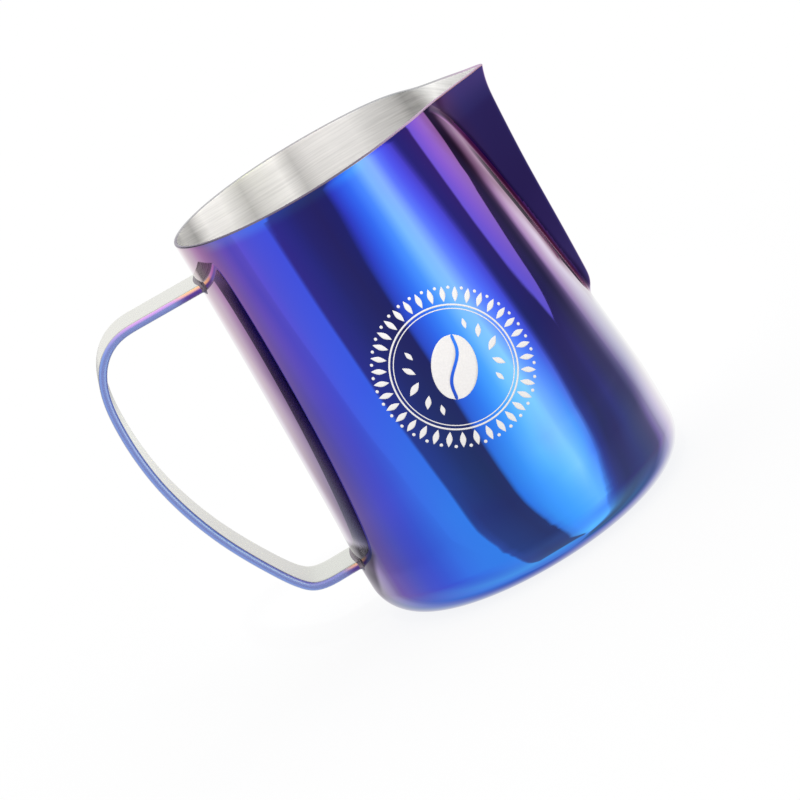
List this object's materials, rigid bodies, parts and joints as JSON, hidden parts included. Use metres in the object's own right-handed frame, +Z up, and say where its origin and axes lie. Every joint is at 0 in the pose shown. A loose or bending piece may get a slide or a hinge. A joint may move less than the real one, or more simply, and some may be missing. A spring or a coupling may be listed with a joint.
{
  "type": "milk frothing pitcher",
  "caption": "Open cylindrical steel jug that tapers to a round mouth, with a pressed pointed pouring spout opposite a flat-strip ear handle, for steaming and pouring milk.",
  "frame": {"origin": "centre of the flat underside of the base", "axes": "+Z up towards the mouth, +X towards the pouring spout, -X towards the handle; XZ is the plane of symmetry"},
  "size_m": [0.1285, 0.09, 0.1146],
  "materials": {
    "coated_steel": "mirror-polished stainless steel, blue to violet vapour-deposited coating outside, bare brushed inside",
    "handle_steel": "polished stainless strip with the same blue to violet coating",
    "weld_metal": "blended weld bead under the coating"
  },
  "bodies": {
    "root": {"pitcher_body": "coated_steel", "handle": "handle_steel", "upper_handle_weld": "weld_metal", "lower_handle_weld": "weld_metal"}
  },
  "joints": []
}
